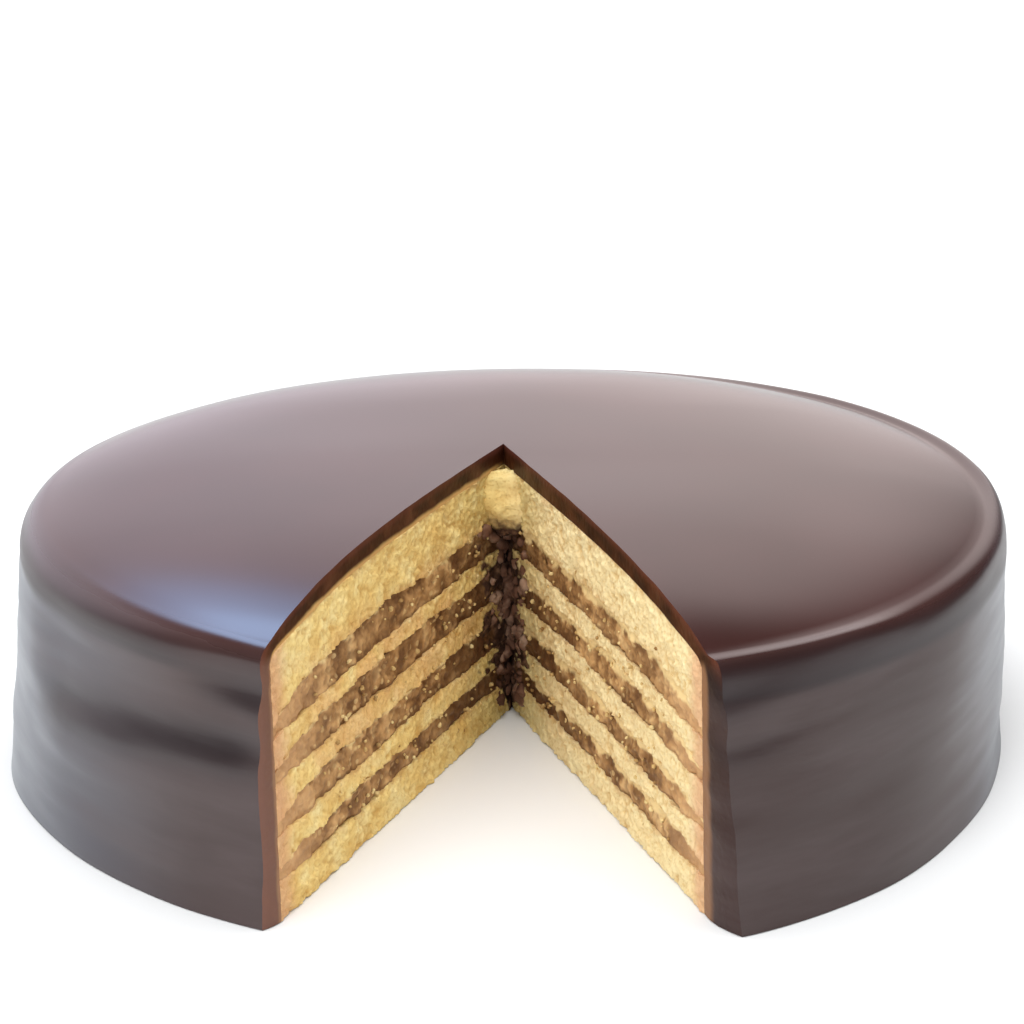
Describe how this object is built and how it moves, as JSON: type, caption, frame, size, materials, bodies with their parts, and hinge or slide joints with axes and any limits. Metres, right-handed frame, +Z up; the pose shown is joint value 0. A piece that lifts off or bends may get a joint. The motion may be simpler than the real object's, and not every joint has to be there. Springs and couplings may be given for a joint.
{
  "type": "dobash cake",
  "caption": "Round layer cake of yellow sponge and chocolate cream under a dark chocolate glaze, with a wedge cut out that shows the layers.",
  "frame": {"origin": "middle of the cake's box on the surface it stands on; this lies in the cut wedge, a little in front of its tip", "axes": "+Z up, -Y out through the open side of the cut wedge, +X to the right when one looks into the wedge"},
  "size_m": [0.2374, 0.234, 0.0687],
  "materials": {
    "chocolate_icing": "satin dark brown glaze, smooth on top and spread with a knife on the side",
    "yellow_sponge": "dry open crumb",
    "chocolate_cream": "soft cream, rough where the knife dragged crumbs through it"
  },
  "bodies": {
    "root": {"icing": "chocolate_icing", "sponge_1": "yellow_sponge", "sponge_2": "yellow_sponge", "sponge_3": "yellow_sponge", "sponge_4": "yellow_sponge", "sponge_5": "yellow_sponge", "cream_1": "chocolate_cream", "cream_2": "chocolate_cream", "cream_3": "chocolate_cream", "cream_4": "chocolate_cream"}
  },
  "joints": []
}
